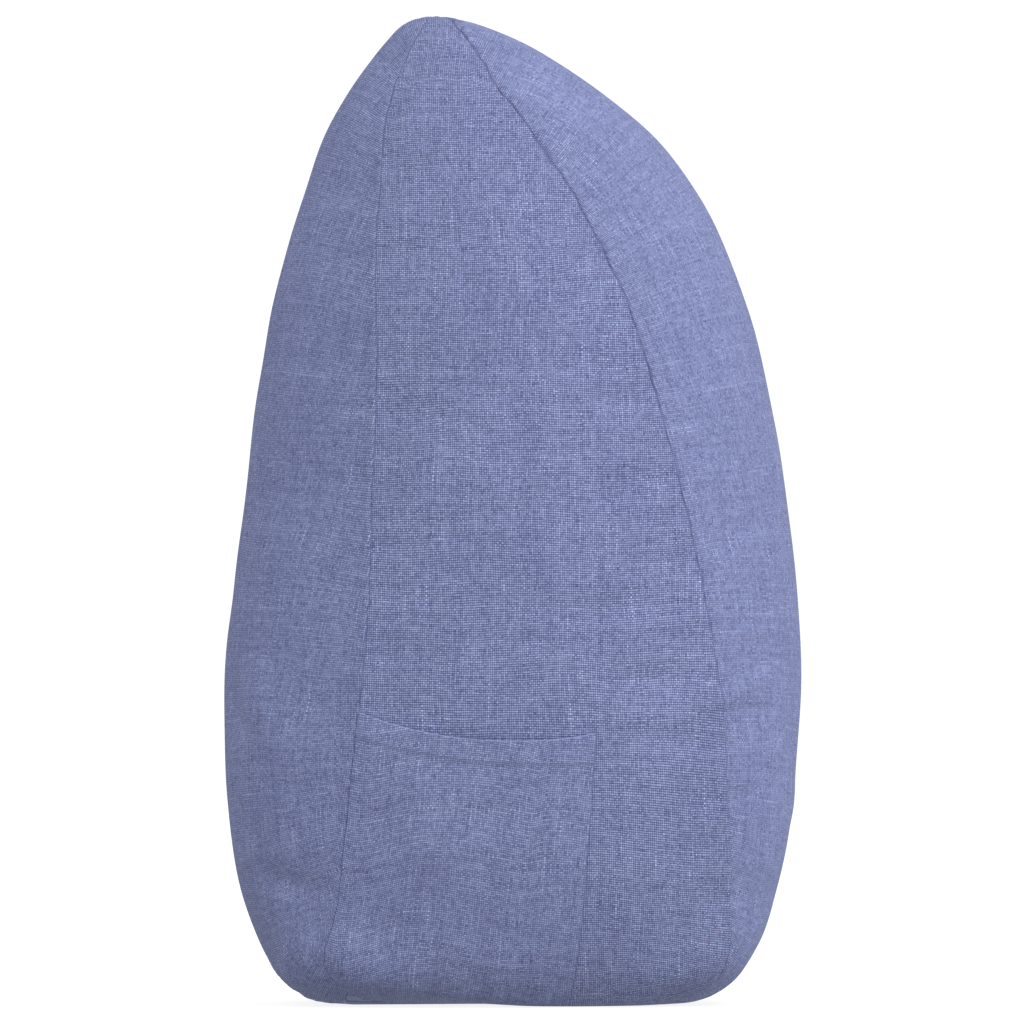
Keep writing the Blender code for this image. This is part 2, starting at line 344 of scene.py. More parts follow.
SEAM_GROOVE = 1.3 * MM
GROOVE_REACH = 0.9 * MM
GROOVE_CHANGE = 0.2  # how much deeper or shallower the groove gets along its seam
ALLOWANCE_FROM = 1.5 * MM  # the raised band over the seam allowance starts beside the seam
ALLOWANCE_WIDTH = 10 * MM
ALLOWANCE_RISE = 1.0 * MM
NEAR_SLOPE, FAR_SLOPE = 1.6 * MM, 2.4 * MM  # half widths of the slopes at its two sides
PUCKER_RISE = 0.55 * MM
PUCKER_REACH = 16 * MM
PUCKER_CLEAR = 5 * MM  # the puckers are flattened this near the seam, by the share below
PUCKER_FLATTENED = 0.8
PUCKER_LENGTHS = (17 * MM, 23 * MM, 34 * MM, 52 * MM)
SEAM_STRAY = 0.55 * MM
SEAM_STRAY_LENGTHS = (31 * MM, 58 * MM, 97 * MM)
SEAM_EASE_LENGTHS = (64 * MM, 105 * MM, 150 * MM)
# Each seam's allowance is pressed towards the front or the back panel, never the side. The
# front seams are drawn tighter than the back ones, so their groove is deeper. Where the
# filling is heaviest, below the height at which a seam eases, it pulls the seam nearly flat.
Seam = namedtuple("Seam", "place side depth eases_at")
SEAMS = (
    Seam(NEAR_FRONT_SEAM, -1, 0.85, 330 * MM),
    Seam(NEAR_BACK_SEAM, 1, 0.6, 150 * MM),
    Seam(FAR_BACK_SEAM, -1, 0.6, 150 * MM),
    Seam(FAR_FRONT_SEAM, 1, 0.85, 330 * MM),
)
EASED_SHARE = 0.25
EASING_REACH = 120 * MM


def soft_step(value, width):
    """A rise from 0 to 1 about zero: half of one plus the hyperbolic tangent."""
    return 0.5 + 0.5 * np.tanh(value / width)


def seam_relief(points):
    """Height to add at the seams, and how deep in a groove each point lies, 0 to 1, which
    darkens the cloth's colour as painted shade.

    A seam is a narrow bell-shaped groove that strays a little and is tighter in some places,
    beside it a raised band over the allowance, and puckers: ripples along the seam that fade
    away from it.
    """
    raised = np.zeros(points.shape[:-1])
    crease = np.zeros(points.shape[:-1])
    for place, side, depth, eases_at in SEAMS:
        tight = soft_step(points[..., 2] - eases_at, EASING_REACH)
        tight = EASED_SHARE + (1 - EASED_SHARE) * tight
        column = column_of(place)
        off = seam_distance(points, column)
        along = arc(points[:, column], axis=0)[:, None]
        stray = SEAM_STRAY * ripples(along, SEAM_STRAY_LENGTHS, seed=40 + place)
        pull = 1 + GROOVE_CHANGE * ripples(along, SEAM_EASE_LENGTHS, seed=50 + place)
        groove = pull * bell(off - stray, GROOVE_REACH)
        inside = soft_step(ALLOWANCE_WIDTH - side * off, FAR_SLOPE)
        beyond = soft_step(side * off - ALLOWANCE_FROM, NEAR_SLOPE)
        gather = ripples(along, PUCKER_LENGTHS, seed=10 + place)
        flattened = 1 - PUCKER_FLATTENED * bell(off, PUCKER_CLEAR)
        raised += tight * (ALLOWANCE_RISE * inside * beyond - SEAM_GROOVE * depth * groove)
        raised += PUCKER_RISE * gather * np.exp(-abs(off) / PUCKER_REACH) * flattened
        crease = np.maximum(crease, tight * depth * groove)
    return raised, crease


BASE_GATHER_RISE = 1.0 * MM
BASE_GATHER_FOOT = 9 * MM
BASE_GATHER_TOP = 70 * MM
BASE_GATHER_LENGTHS = (21 * MM, 33 * MM, 47 * MM, 80 * MM)


def base_gathers(points):
    """Upright gathers over the base seam: ripples around that fade out going up and down."""
    closed = np.concatenate([points, points[:, :1]], axis=1)
    run = arc(closed, axis=1)[:, :-1]
    fade = np.clip(1 - points[..., 2] / BASE_GATHER_TOP, 0, 1) ** 1.5
    fade = fade * np.clip(points[..., 2] / BASE_GATHER_FOOT, 0, 1)
    return BASE_GATHER_RISE * fade * ripples(run, BASE_GATHER_LENGTHS, seed=31)


# Where the base's rim is drawn up off the floor: bearing and reach in degrees, rise in mm.
RimLift = namedtuple("RimLift", "turn reach rise")
RIM_LIFTS = (
    RimLift(-117, 19, 9.0),
    RimLift(62, 30, 4.0),
    RimLift(150, 26, 3.0),
)
LIFT_FADE = 60 * MM


def rim_lift(point):
    """How far the cloth is drawn up: a bell around each lift's bearing, fading with height."""
    lift = np.zeros(point.shape[:-1])
    for at in RIM_LIFTS:
        lift += at.rise * MM * bell(bearing_from(at.turn, point), math.radians(at.reach))
    return lift * np.clip(1 - point[..., 2] / LIFT_FADE, 0, 1) ** 1.5


def placed(name, data):
    """A new object of a mesh, a lamp or a camera, in the scene."""
    made = bpy.data.objects.new(name, data)
    bpy.context.scene.collection.objects.link(made)
    return made


def bands(lower, upper, left, right):
    """Quads that face outwards, between the rows of points that start at lower and upper
    and the columns left and right."""
    quads = np.stack([lower + right, lower + left, upper + left, upper + right], -1)
    return quads.reshape(-1, 4)


def running_mean(values, reach, wrap):
    """A bell-weighted mean along the first axis, going round where wrap is true."""
    count = max(1, int(reach * 2.5))
    steps = np.arange(-count, count + 1)
    weights = np.exp(-0.5 * (steps / reach) ** 2)
    weights /= weights.sum()
    ends = "wrap" if wrap else "edge"
    long = np.pad(values, [(count, count), (0, 0)], mode=ends)
    return sum(w * long[k:k + len(values)] for k, w in enumerate(weights))


SIMULATED_ROWS = 140
SIMULATED_FRAMES = 20
HELD_ROWS = 3  # at the base and at the crest
START_INSET = 3 * MM
KEPT_SHARE = 0.45
MOST_MOVE = 5 * MM
CREST_FADE = 60 * MM
SMOOTH_OVER = 70 * MM
SIMULATED_SPACING = 8 * MM  # about how far apart the simulated points lie
CLOTH_SETTINGS = {
    "quality": 6,
    "mass": 0.3,
    "tension_stiffness": 25,
    "compression_stiffness": 25,
    "shear_stiffness": 10,
    "bending_stiffness": 0.6,
    "use_pressure": True,
    "uniform_pressure_force": 4,
    "vertex_group_mass": "held",
    "vertex_group_shrink": "drawn",
    "shrink_min": 0.0,
    "shrink_max": 0.035,
}


def simulated_swelling():
    """How far each point of a coarse cover moves outwards when it is blown up.

    A copy of the form, a little smaller, gets Blender's cloth with pressure and no gravity.
    Its base and crest are pinned and its seams shrink, so the panels crown and pucker
    between them. What is kept is the move along the normal less its own smooth part, so
    the outline stays where the frame has it, and never more than a cap.
    """
    places = places_around(half_front=26, side=52, half_back=32)
    shares = spread(SIMULATED_ROWS)
    start = filled_form(places[None, :], shares[:, None], folded=0.0)[:-1]
    normal = grid_normals(start)
    rows, columns = start.shape[:2]
    inset = start - START_INSET * normal
    level = (np.arange(rows - 1) * columns)[:, None]
    left = np.arange(columns)
    quads = bands(level, level + columns, left, (left + 1) % columns)
    mesh = bpy.data.meshes.new("cover_to_blow_up")
    mesh.from_pydata(inset.reshape(-1, 3).tolist(), [], quads.tolist())
    copy = placed("cover_to_blow_up", mesh)
    held = copy.vertex_groups.new(name="held")
    held.add(list(range(HELD_ROWS * columns)), 1.0, "REPLACE")
    held.add(list(range((rows - HELD_ROWS) * columns, rows * columns)), 1.0, "REPLACE")
    drawn = copy.vertex_groups.new(name="drawn")
    for seam in SEAMS:
        column = int(np.argmin(abs(places - seam.place)))
        drawn.add((np.arange(rows) * columns + column).tolist(), 1.0, "REPLACE")
    cloth = copy.modifiers.new("cloth", "CLOTH")
    for name, value in CLOTH_SETTINGS.items():
        setattr(cloth.settings, name, value)
    cloth.settings.effector_weights.gravity = 0
    cloth.point_cache.frame_start = 1
    cloth.point_cache.frame_end = SIMULATED_FRAMES
    for step in range(1, SIMULATED_FRAMES + 1):
        bpy.context.scene.frame_set(step)
    shown = copy.evaluated_get(bpy.context.evaluated_depsgraph_get())
    flat = np.empty(rows * columns * 3, np.float32)
    shown.data.vertices.foreach_get("co", flat)
    bpy.data.objects.remove(copy)
    bpy.data.meshes.remove(mesh)
    bpy.context.scene.frame_set(1)
    moved = ((flat.reshape(rows, columns, 3) - inset) * normal).sum(-1)
    reach = SMOOTH_OVER / SIMULATED_SPACING
    smooth = running_mean(moved, reach, wrap=False)
    smooth = running_mean(smooth.T, reach, wrap=True).T
    kept = MOST_MOVE * np.tanh(KEPT_SHARE * (moved - smooth) / MOST_MOVE)
    return places, shares[:-1], kept


def line_weights(known, wanted):
    """The known place before each wanted one, and the share of the way on to the next."""
    before = np.clip(np.searchsorted(known, wanted, side="right") - 1, 0, len(known) - 2)
    share = (wanted - known[before]) / (known[before + 1] - known[before])
    return before, np.clip(share, 0, 1)


def read_grid(grid, known_rows, known_columns, row_at, column_at):
    """What a grid of points or values has at places between them, by straight lines both
    ways between the four nearest."""
    row, up = line_weights(known_rows, row_at)
    column, right = line_weights(known_columns, column_at)
    if grid.ndim == 3:
        up, right = up[..., None], right[..., None]
    lower = grid[row, column] * (1 - right) + grid[row, column + 1] * right
    upper = grid[row + 1, column] * (1 - right) + grid[row + 1, column + 1] * right
    return lower * (1 - up) + upper * up


coarse_places, coarse_shares, swelling = simulated_swelling()
swelling = np.concatenate([swelling, swelling[:, :1]], axis=1)
coarse_places = np.append(coarse_places, ONCE_AROUND)
swelling = read_grid(swelling, coarse_shares, coarse_places, rise[:, None], around[None, :])
swelling *= 1 - bell(form[..., 2], SETTLE)
swelling *= np.clip((form[-1, 0, 2] - form[..., 2]) / CREST_FADE, 0, 1)
form = form + swelling[..., None] * grid_normals(form)
form[-1] = form[-1].mean(0)

RELIEF_SETTLE = 12 * MM  # the seams' relief dies out this near the floor
RELIEF_CREST = 0.02  # and over this share of the way up below the crest

relief, crease = seam_relief(form)
relief_kept = np.clip(form[..., 2] / RELIEF_SETTLE, 0, 1)
relief_kept = relief_kept * np.clip((1 - rise[:, None]) / RELIEF_CREST, 0, 1)
relief = relief * relief_kept + base_gathers(form)
cover_points = form + relief[..., None] * grid_normals(form)
cover_points[-1] = cover_points[-1].mean(0)
cover_points[0, :, 2] = 0.0
cover_points[..., 2] += rim_lift(cover_points)

# How open the weave looks at a seam and far from one, on the panels where it closes up.
WeaveOpening = namedtuple("WeaveOpening", "at_seam far_off reach")
FRONT_WEAVE = WeaveOpening(0.75, 0.14, 24 * MM)
BACK_WEAVE = WeaveOpening(0.85, 0.34, 45 * MM)
BASE_OPENNESS = 0.6


def weave_openness(points):
    """How open the weave looks, 1 on the sides. On the front and back, where the cloth is
    strained and its gaps close, it falls off exponentially with the distance from a seam."""
    away = [abs(seam_distance(points, column_of(seam.place))) for seam in SEAMS]
    away = np.min(away, axis=0)
    front = (around < NEAR_FRONT_SEAM) | (around > FAR_FRONT_SEAM)
    back = (around > NEAR_BACK_SEAM) & (around < FAR_BACK_SEAM)
    openness = np.ones(points.shape[:-1])
    for picked, weave in ((front, FRONT_WEAVE), (back, BACK_WEAVE)):
        falling = (weave.at_seam - weave.far_off) * np.exp(-away / weave.reach)
        openness = np.where(picked, weave.far_off + falling, openness)
    return openness


GRAIN_SAG = 0.08
SAG_FROM = 85 * MM
SAG_TOP = 285 * MM
SAG_FADE = 45 * MM
EVENED_ROWS = 30  # rows to each side over which a panel's middle line is evened out


def side_cloth_places(points):
    """Yarn coordinates on a side panel. Across is the arc from the middle column plus that
    column's X, so the lengthwise yarns stay upright. Along is the arc up the middle, plus a
    slope low down towards the front seam, where the filling's weight draws the yarns down."""
    middle = points.shape[1] // 2
    across = arc(points, axis=1)
    across -= across[:, [middle]]
    facing = np.sign(points[:, -1:, 0] - points[:, :1, 0])
    along = arc(points[:, middle], axis=0)[:, None]
    x_middle = points[:, [middle], 0]
    low = soft_step(SAG_TOP - points[..., 2], SAG_FADE)
    sag = GRAIN_SAG * np.maximum(points[..., 0] - SAG_FROM, 0) * low
    return np.stack([facing * across + x_middle, along + sag], axis=-1)


def end_cloth_places(points, middle_angle, bend=0.26):
    """Yarn coordinates on the front or back panel, whose cross yarns lie in planes square
    to its middle line. Along is the arc where that plane cuts the line, and across is the
    arc of a circle of radius bend over the chord from there to the point. The line is the
    plain round's, with its direction evened out by a running mean."""
    line = round_point(np.full(len(rise), middle_angle), rise)
    way = np.pad(np.gradient(line, axis=0), [(EVENED_ROWS, EVENED_ROWS), (0, 0)], mode="edge")
    window = np.hanning(2 * EVENED_ROWS + 1)
    way = unit(np.stack([np.convolve(way[:, k], window, "valid") for k in range(3)], 1))
    run = arc(line, axis=0)
    flat = points.reshape(-1, 3)
    ahead = flat @ way.T - (line * way).sum(-1)[None, :]
    row = np.clip((ahead > 0).sum(1) - 1, 0, len(line) - 2)
    here = np.arange(len(flat))
    before, after = ahead[here, row], ahead[here, row + 1]
    share = np.clip(before / np.maximum(before - after, 1e-9), 0, 1)
    along = run[row] + share * (run[row + 1] - run[row])
    foot = line[row] + share[:, None] * (line[row + 1] - line[row])
    chord = np.linalg.norm(flat - foot, axis=-1)
    across = np.sign(flat[:, 1]) * 2 * bend * np.arcsin(np.clip(chord / (2 * bend), 0, 1))
    return np.stack([across, along], axis=-1).reshape(*points.shape[:2], 2)


def mesh_object(name, points, faces, face_places, creases, openness):
    """A smooth mesh with its yarn coordinates in the UV map cloth, its painted crease shade
    and highlight, and how open the weave is, from 0 to 1."""
    mesh = bpy.data.meshes.new(name)
    mesh.from_pydata(points.tolist(), [], [f.tolist() for f in faces])
    cloth = mesh.uv_layers.new(name="cloth")
    flat = np.concatenate([p.reshape(-1, 2) for p in face_places])
    cloth.uv.foreach_set("vector", flat.astype(np.float32).ravel())
    for label, values in (("crease", creases), ("open_weave", openness)):
        shade = mesh.attributes.new(label, "FLOAT", "POINT")
        shade.data.foreach_set("value", values.astype(np.float32))
    mesh.validate()
    mesh.shade_smooth()
    return placed(name, mesh)


# Each upright panel from seam to seam, and the angle of its middle line on the front and
# the back, whose yarns follow that line.
Panel = namedtuple("Panel", "first last middle_angle")
PANELS = (
    Panel(NEAR_FRONT_SEAM, NEAR_BACK_SEAM, None),
    Panel(NEAR_BACK_SEAM, FAR_BACK_SEAM, math.pi),
    Panel(FAR_BACK_SEAM, FAR_FRONT_SEAM, None),
    Panel(FAR_FRONT_SEAM, ONCE_AROUND + NEAR_FRONT_SEAM, 0.0),
)


def panel_columns(panel):
    """The grid columns of a panel from seam to seam, counting on past the last column."""
    start = column_of(panel.first)
    count = (column_of(panel.last) - start) % len(around)
    return (start + np.arange(count + 1)) % len(around)


def build_cover():
    """The closed cover: four upright panels, a fan at the crest, and the base's rings."""
    rows, columns = cover_points.shape[:2]
    shares = np.linspace(1, 0, BASE_ROWS + 1)[1:-1]
    rings = cover_points[0][None] * shares[:, None, None]
    rings[..., 2] *= shares[:, None] ** 2
    upright = cover_points[:-1].reshape(-1, 3)
    points = np.concatenate([upright, cover_points[-1:, 0], rings.reshape(-1, 3), np.zeros((1, 3))])
    crest, foot = len(upright), len(points) - 1
    level = (np.arange(rows - 2) * columns)[:, None]
    top = (rows - 2) * columns
    faces, places = [], []
    for panel in PANELS:
        picked = panel_columns(panel)
        if panel.middle_angle is None:
            spot = side_cloth_places(cover_points[:, picked])
        else:
            spot = end_cloth_places(cover_points[:, picked], panel.middle_angle)
        left, right = picked[:-1], picked[1:]
        faces += list(bands(level, level + columns, left, right))
        corners = [spot[:-2, 1:], spot[:-2, :-1], spot[1:-1, :-1], spot[1:-1, 1:]]
        places.append(np.stack(corners, 2))
        faces += list(np.stack([top + right, top + left, np.full(len(left), crest)], -1))
        tip_spot = (spot[-1, :-1] + spot[-1, 1:]) / 2
        places.append(np.stack([spot[-2, 1:], spot[-2, :-1], tip_spot], 1))
    level = np.concatenate([[0], crest + 1 + np.arange(BASE_ROWS - 1) * columns])
    left = np.arange(columns)
    right = (left + 1) % columns
    quads = bands(level[1:, None], level[:-1, None], left, right)
    tips = np.stack([np.full(columns, foot), level[-1] + left, level[-1] + right], -1)
    for fan in (quads, tips):
        faces += list(fan)
        places.append(points[fan][..., :2])
    creases = np.zeros(len(points))
    # Painted shade: the seams' grooves darken the cloth's colour.
    creases[:crest] = (crease * relief_kept)[:-1].ravel()
    openness = np.full(len(points), BASE_OPENNESS)
    openness[:crest] = weave_openness(form)[:-1].ravel()
    return mesh_object("filled_cover", points, faces, places, creases, openness)


cover = build_cover()


class Nodes:
    """Short calls that add nodes to one tree and link them."""

    def __init__(self, tree):
        self.tree = tree

    def feed(self, target, source):
        """Links a socket, or sets the target's own value to a number or a tuple."""
        if isinstance(source, bpy.types.NodeSocket):
            self.tree.links.new(source, target)
        else:
            target.default_value = source

    def add(self, kind, *sources, **settings):
        """A new node, set first, with its first inputs fed in order."""
        node = self.tree.nodes.new(kind)
        for name, value in settings.items():
            setattr(node, name, value)
        for target, source in zip(node.inputs, sources):
            self.feed(target, source)
        return node

    def math(self, operation, *values):
        return self.add("ShaderNodeMath", *values, operation=operation).outputs[0]

    def plus(self, *values):
        return self.math("ADD", *values)

    def less(self, *values):
        return self.math("SUBTRACT", *values)

    def times(self, *values):
        return self.math("MULTIPLY", *values)

    def between(self, value, low, high, to_low, to_high):
        """A value from low to high, brought to the range from to_low to to_high."""
        sources = (value, low, high, to_low, to_high)
        return self.add("ShaderNodeMapRange", *sources, clamp=True).outputs[0]

    def vector(self, x, y, z=0.0):
        return self.add("ShaderNodeCombineXYZ", x, y, z).outputs[0]

    def mix(self, share, low, high, kind="FLOAT"):
        """Low to high by a share, of two numbers or, for the kind RGBA, two colours."""
        node = self.add("ShaderNodeMix", data_type=kind)
        first, result = {"FLOAT": (2, 0), "RGBA": (6, 2)}[kind]
        self.feed(node.inputs[0], share)
        self.feed(node.inputs[first], low)
        self.feed(node.inputs[first + 1], high)
        return node.outputs[result]

    def noise(self, place, scale, detail=2.0):
        node = self.add("ShaderNodeTexNoise")
        self.feed(node.inputs["Vector"], place)
        node.inputs["Scale"].default_value = scale
        node.inputs["Detail"].default_value = detail
        return node.outputs["Fac"]


COLUMN_PITCH = 2.19 * MM
ROW_PITCH = 2.29 * MM
# How far yarns drift and stray, in pitches, and the scale of each by the metre.
DRIFT, DRIFT_SCALE = 6.0, 7.0
STRAY, STRAY_SCALE = 0.35, 110.0
YARN_APART, LOT_APART = 7.77, 50.0  # how far apart the noise of two yarns is read
FINE_PACE = 0.33  # steps of a yarn's fine change in one pitch
# The parts of a yarn's shade: its own level, its slubs, and a fine change along it.
OWN_SHADE, SLUB_SHADE, FINE_SHADE = 0.22, 0.5, 1.1
THICK_FROM, THICK_AT = 0.64, 0.74  # the noise from which a slub is thick, and at its most
GAP_FROM, GAP_AT = 0.18, 0.5  # pitches from a yarn's middle to its gap, and to the darkest


def make_weave_group():
    """Plain weave. The yarn grid is Place over the two pitches. Where the sum of the two
    yarn numbers is odd the lengthwise yarn is on top, else the crosswise one. Each yarn has
    its own shade, slubs drawn out along it, a round profile and dark gaps beside it."""
    group = bpy.data.node_groups.new("plain weave with slubs", "ShaderNodeTree")
    group.interface.new_socket(name="Place", in_out="INPUT", socket_type="NodeSocketVector")
    group.interface.new_socket(name="Seed", in_out="INPUT", socket_type="NodeSocketFloat")
    for name in ("Shade", "Gaps", "Height"):
        group.interface.new_socket(name=name, in_out="OUTPUT", socket_type="NodeSocketFloat")
    n = Nodes(group)
    given = n.add("NodeGroupInput")
    result = n.add("NodeGroupOutput")
    place, seed = given.outputs["Place"], given.outputs["Seed"]
    split = n.add("ShaderNodeSeparateXYZ", place)
    drift = n.times(n.less(n.noise(place, DRIFT_SCALE, 1.0), 0.5), DRIFT)
    stray = n.times(n.less(n.noise(place, STRAY_SCALE, 0.0), 0.5), STRAY)
    astray = n.plus(drift, stray)
    x = n.plus(n.math("DIVIDE", split.outputs[0], COLUMN_PITCH), astray)
    y = n.less(n.math("DIVIDE", split.outputs[1], ROW_PITCH), astray)
    column, row = n.math("FLOOR", x), n.math("FLOOR", y)
    in_column, in_row = n.math("FRACT", x), n.math("FRACT", y)
    odd = n.math("FLOORED_MODULO", n.plus(column, row), 2.0)

    def yarn(number, along, shift, drawn_out, thickest):
        """The shade of one yarn about 0: its own level, its slubs drawn out along it, a
        fine change, and a pale step where a slub is thick."""
        lot = n.add("ShaderNodeTexWhiteNoise", noise_dimensions="2D")
        n.feed(lot.inputs["Vector"], n.vector(number, n.plus(seed, shift)))
        own = n.less(lot.outputs["Value"], 0.5)
        start = n.plus(n.times(number, YARN_APART), n.times(own, LOT_APART))
        slub = n.noise(n.vector(start, n.times(along, drawn_out), seed), 1.0, 1.0)
        fine = n.noise(n.vector(start, n.times(along, FINE_PACE), shift), 1.0, 0.0)
        thick = n.between(slub, THICK_FROM, THICK_AT, 0.0, thickest)
        level = n.plus(n.times(own, OWN_SHADE), n.times(n.less(slub, 0.5), SLUB_SHADE))
        level = n.plus(level, n.times(n.less(fine, 0.5), FINE_SHADE))
        return n.plus(level, thick)

    def gap(across, darkest):
        """Dark at the edge of a yarn, where the next layer shows through."""
        centred = n.math("ABSOLUTE", n.less(across, 0.5))
        return n.between(centred, GAP_FROM, GAP_AT, 1.0, darkest)

    def arch(along):
        """The rise of a yarn over the one it crosses: half a sine, 0 at its ends."""
        return n.math("SINE", n.times(along, math.pi))

    row_yarn = yarn(row, x, shift=9.2, drawn_out=0.05, thickest=0.3)
    column_yarn = yarn(column, y, shift=1.7, drawn_out=0.036, thickest=0.46)
    over = n.plus(0.5, n.times(n.mix(odd, arch(in_column), arch(in_row)), 0.5))
    gaps = n.times(gap(in_row, darkest=0.22), gap(in_column, darkest=0.45))
    n.feed(result.inputs["Shade"], n.mix(odd, row_yarn, column_yarn))
    n.feed(result.inputs["Gaps"], gaps)
    n.feed(result.inputs["Height"], n.times(gaps, over))
    return group


def new_material(name, settings):
    """A material, its node calls, and its shader with the settings put on its sockets."""
    material = bpy.data.materials.new(name)
    material.use_nodes = True
    shader = material.node_tree.nodes["Principled BSDF"]
    for label, value in settings.items():
        shader.inputs[label].default_value = value
    return material, Nodes(material.node_tree), shader


WEAVE = make_weave_group()
OPEN_BLUE = (0.306, 0.351, 0.482, 1)
CLOSED_BLUE = (0.298, 0.340, 0.497, 1)
DEEP_BLUE = (0.0, 0.0, 0.092)
CLOSED_GAPS = 0.71  # how dark a weave without gaps is, beside the top of a yarn
DARKEST_YARN = 0.45
PAINTED_FOLD_HIGHLIGHT, PAINTED_CREASE_SHADE = 1.4, 0.6  # painted highlight and painted shade: the colour factor at crease shades of -1 and 1
PACKED_AT, PACKED_SHADE = 0.5, 0.2  # the crease shade at which yarn shades are faintest
PATCHES, PATCH_SCALE = 0.06, 11.0
ROUGH_GAP, ROUGH_YARN = 0.98, 0.84
FUZZ, FUZZ_SCALE = 0.5, 260.0
WEAVE_RELIEF = 0.5 * MM
RELIEF_STRENGTH = 0.5
CLOTH_FINISH = {"Sheen Weight": 0.01, "Sheen Roughness": 0.5, "Specular IOR Level": 0.08}


def linen(name, seed):
    """The cover's cloth: a deep blue plus its own blue times the weave's shade, gaps,
    patches and painted light, so that its dark gaps are bluer than its pale yarns. The
    painted light is shade in creases and grooves and a highlight on folded edges. It is a
    little greyer where the weave is open, as the layer below shows through. Yarn shades
    fade out in creases and on folded edges, where the yarns are packed."""
    material, n, shader = new_material(name, CLOTH_FINISH)
    place = n.add("ShaderNodeUVMap", uv_map="cloth").outputs[0]
    weave = n.add("ShaderNodeGroup", node_tree=WEAVE)
    n.feed(weave.inputs["Place"], place)
    weave.inputs["Seed"].default_value = seed
    mark = n.add("ShaderNodeAttribute", attribute_name="crease").outputs["Fac"]
    open_weave = n.add("ShaderNodeAttribute", attribute_name="open_weave").outputs["Fac"]
    # Painted light and shade: creases and grooves darkened, folded edges lightened.
    painted_light_and_shade = n.between(mark, -1.0, 1.0, PAINTED_FOLD_HIGHLIGHT, PAINTED_CREASE_SHADE)
    loose = n.between(n.math("ABSOLUTE", mark), 0.0, PACKED_AT, 1.0, PACKED_SHADE)
    shade = n.plus(n.times(weave.outputs["Shade"], loose), 1.0)
    shade = n.math("MAXIMUM", shade, DARKEST_YARN)
    patchy = n.noise(place, PATCH_SCALE, 3.0)
    patchy = n.between(patchy, 0.25, 0.75, 1 - PATCHES, 1 + PATCHES)
    factor = n.times(shade, n.mix(open_weave, CLOSED_GAPS, weave.outputs["Gaps"]))
    factor = n.times(n.times(factor, patchy), painted_light_and_shade)
    blue = n.mix(open_weave, CLOSED_BLUE, OPEN_BLUE, "RGBA")
    tinted = n.add("ShaderNodeVectorMath", blue, factor, DEEP_BLUE, operation="MULTIPLY_ADD")
    n.feed(shader.inputs["Base Color"], tinted.outputs[0])
    height = weave.outputs["Height"]
    n.feed(shader.inputs["Roughness"], n.between(height, 0, 1, ROUGH_GAP, ROUGH_YARN))
    fuzz = n.times(n.noise(place, FUZZ_SCALE, 2.0), FUZZ)
    bump = n.add("ShaderNodeBump")
    bump.inputs["Strength"].default_value = RELIEF_STRENGTH
    bump.inputs["Distance"].default_value = WEAVE_RELIEF
    n.feed(bump.inputs["Height"], n.plus(height, fuzz))
    n.feed(shader.inputs["Normal"], bump.outputs[0])
    return material


cover.data.materials.append(linen("slubby blue cover cloth", seed=3.0))
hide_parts("filled_body")
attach(cover, "root")

# The patch pocket
# The real piece is a single layer of the same cloth, its mouth turned in twice and
# topstitched 22 to 31 mm down, its free edge turned under and its other two edges caught in
# the back seam and the base seam. It is wider than what it lies on, so its mouth is slack.

POCKET_BOTTOM = 2.5 * MM
MOUTH_AT_EDGE = 272 * MM
MOUTH_AT_SEAM = 292 * MM
MOUTH_SAG = 14.5 * MM
SAG_SKEW = 0.2  # how far the lowest part of the sag leans to the free edge
FREE_EDGE_LOW = 55 * MM
FREE_EDGE_HIGH = 82 * MM
FREE_EDGE_BEND = 0.6
SEAM_MARGIN = 1.5 * MM


def rise_at_height(height):
    """The share of the way up at a height, read off the sections' own heights."""
    shares = np.linspace(0, 1, 1601)
    return np.interp(height, section_at(shares).height, shares)


def place_of_angle(angle, height_share):
    """The place around on the near side panel at an angle, the reverse of angle_at."""
    front, back = seam_angles(section_at(height_share))
    return NEAR_FRONT_SEAM + 2 * (angle - front) / (back - front)


def filled_outward(place, height_share):
    """The filled form's outward direction on the near side, folds and all, from steps."""
    step = 2e-3
    aside = filled_form(place + step, height_share) - filled_form(place - step, height_share)
    higher = filled_form(place, height_share + step)
    lower = filled_form(place, np.maximum(height_share - step, 0.0))
    return unit(np.cross(higher - lower, aside))


def pocket_ground(across, level):
    """The pocket's footprint: a point of the cover and the outward direction there."""
    straight = MOUTH_AT_EDGE + (MOUTH_AT_SEAM - MOUTH_AT_EDGE) * across
    sag = 4 * across * (1 - across) * (1 + SAG_SKEW * (1 - 2 * across))
    mouth = straight - MOUTH_SAG * sag
    height = POCKET_BOTTOM + (mouth - POCKET_BOTTOM) * level
    share = rise_at_height(height)
    section = section_at(share)
    middle, half = middle_and_half(section)
    free_x = FREE_EDGE_LOW + (FREE_EDGE_HIGH - FREE_EDGE_LOW) * level**FREE_EDGE_BEND
    free_angle = np.arccos(((free_x - middle) / half) ** (section.power / 2))
    back = seam_angles(section)[1] - SEAM_MARGIN / half
    place = place_of_angle(free_angle + (back - free_angle) * across, share)
    return read_grid(cover_points, rise, around, share, place), filled_outward(place, share)


POCKET_COLUMNS = 110
POCKET_ROWS = 120
FINE_ROWS = 30  # rows that stand closer together, from the level below to the mouth
FINE_FROM = 0.88
LOW_EASING = 1.15  # above 1, the other rows stand closer together near the bottom

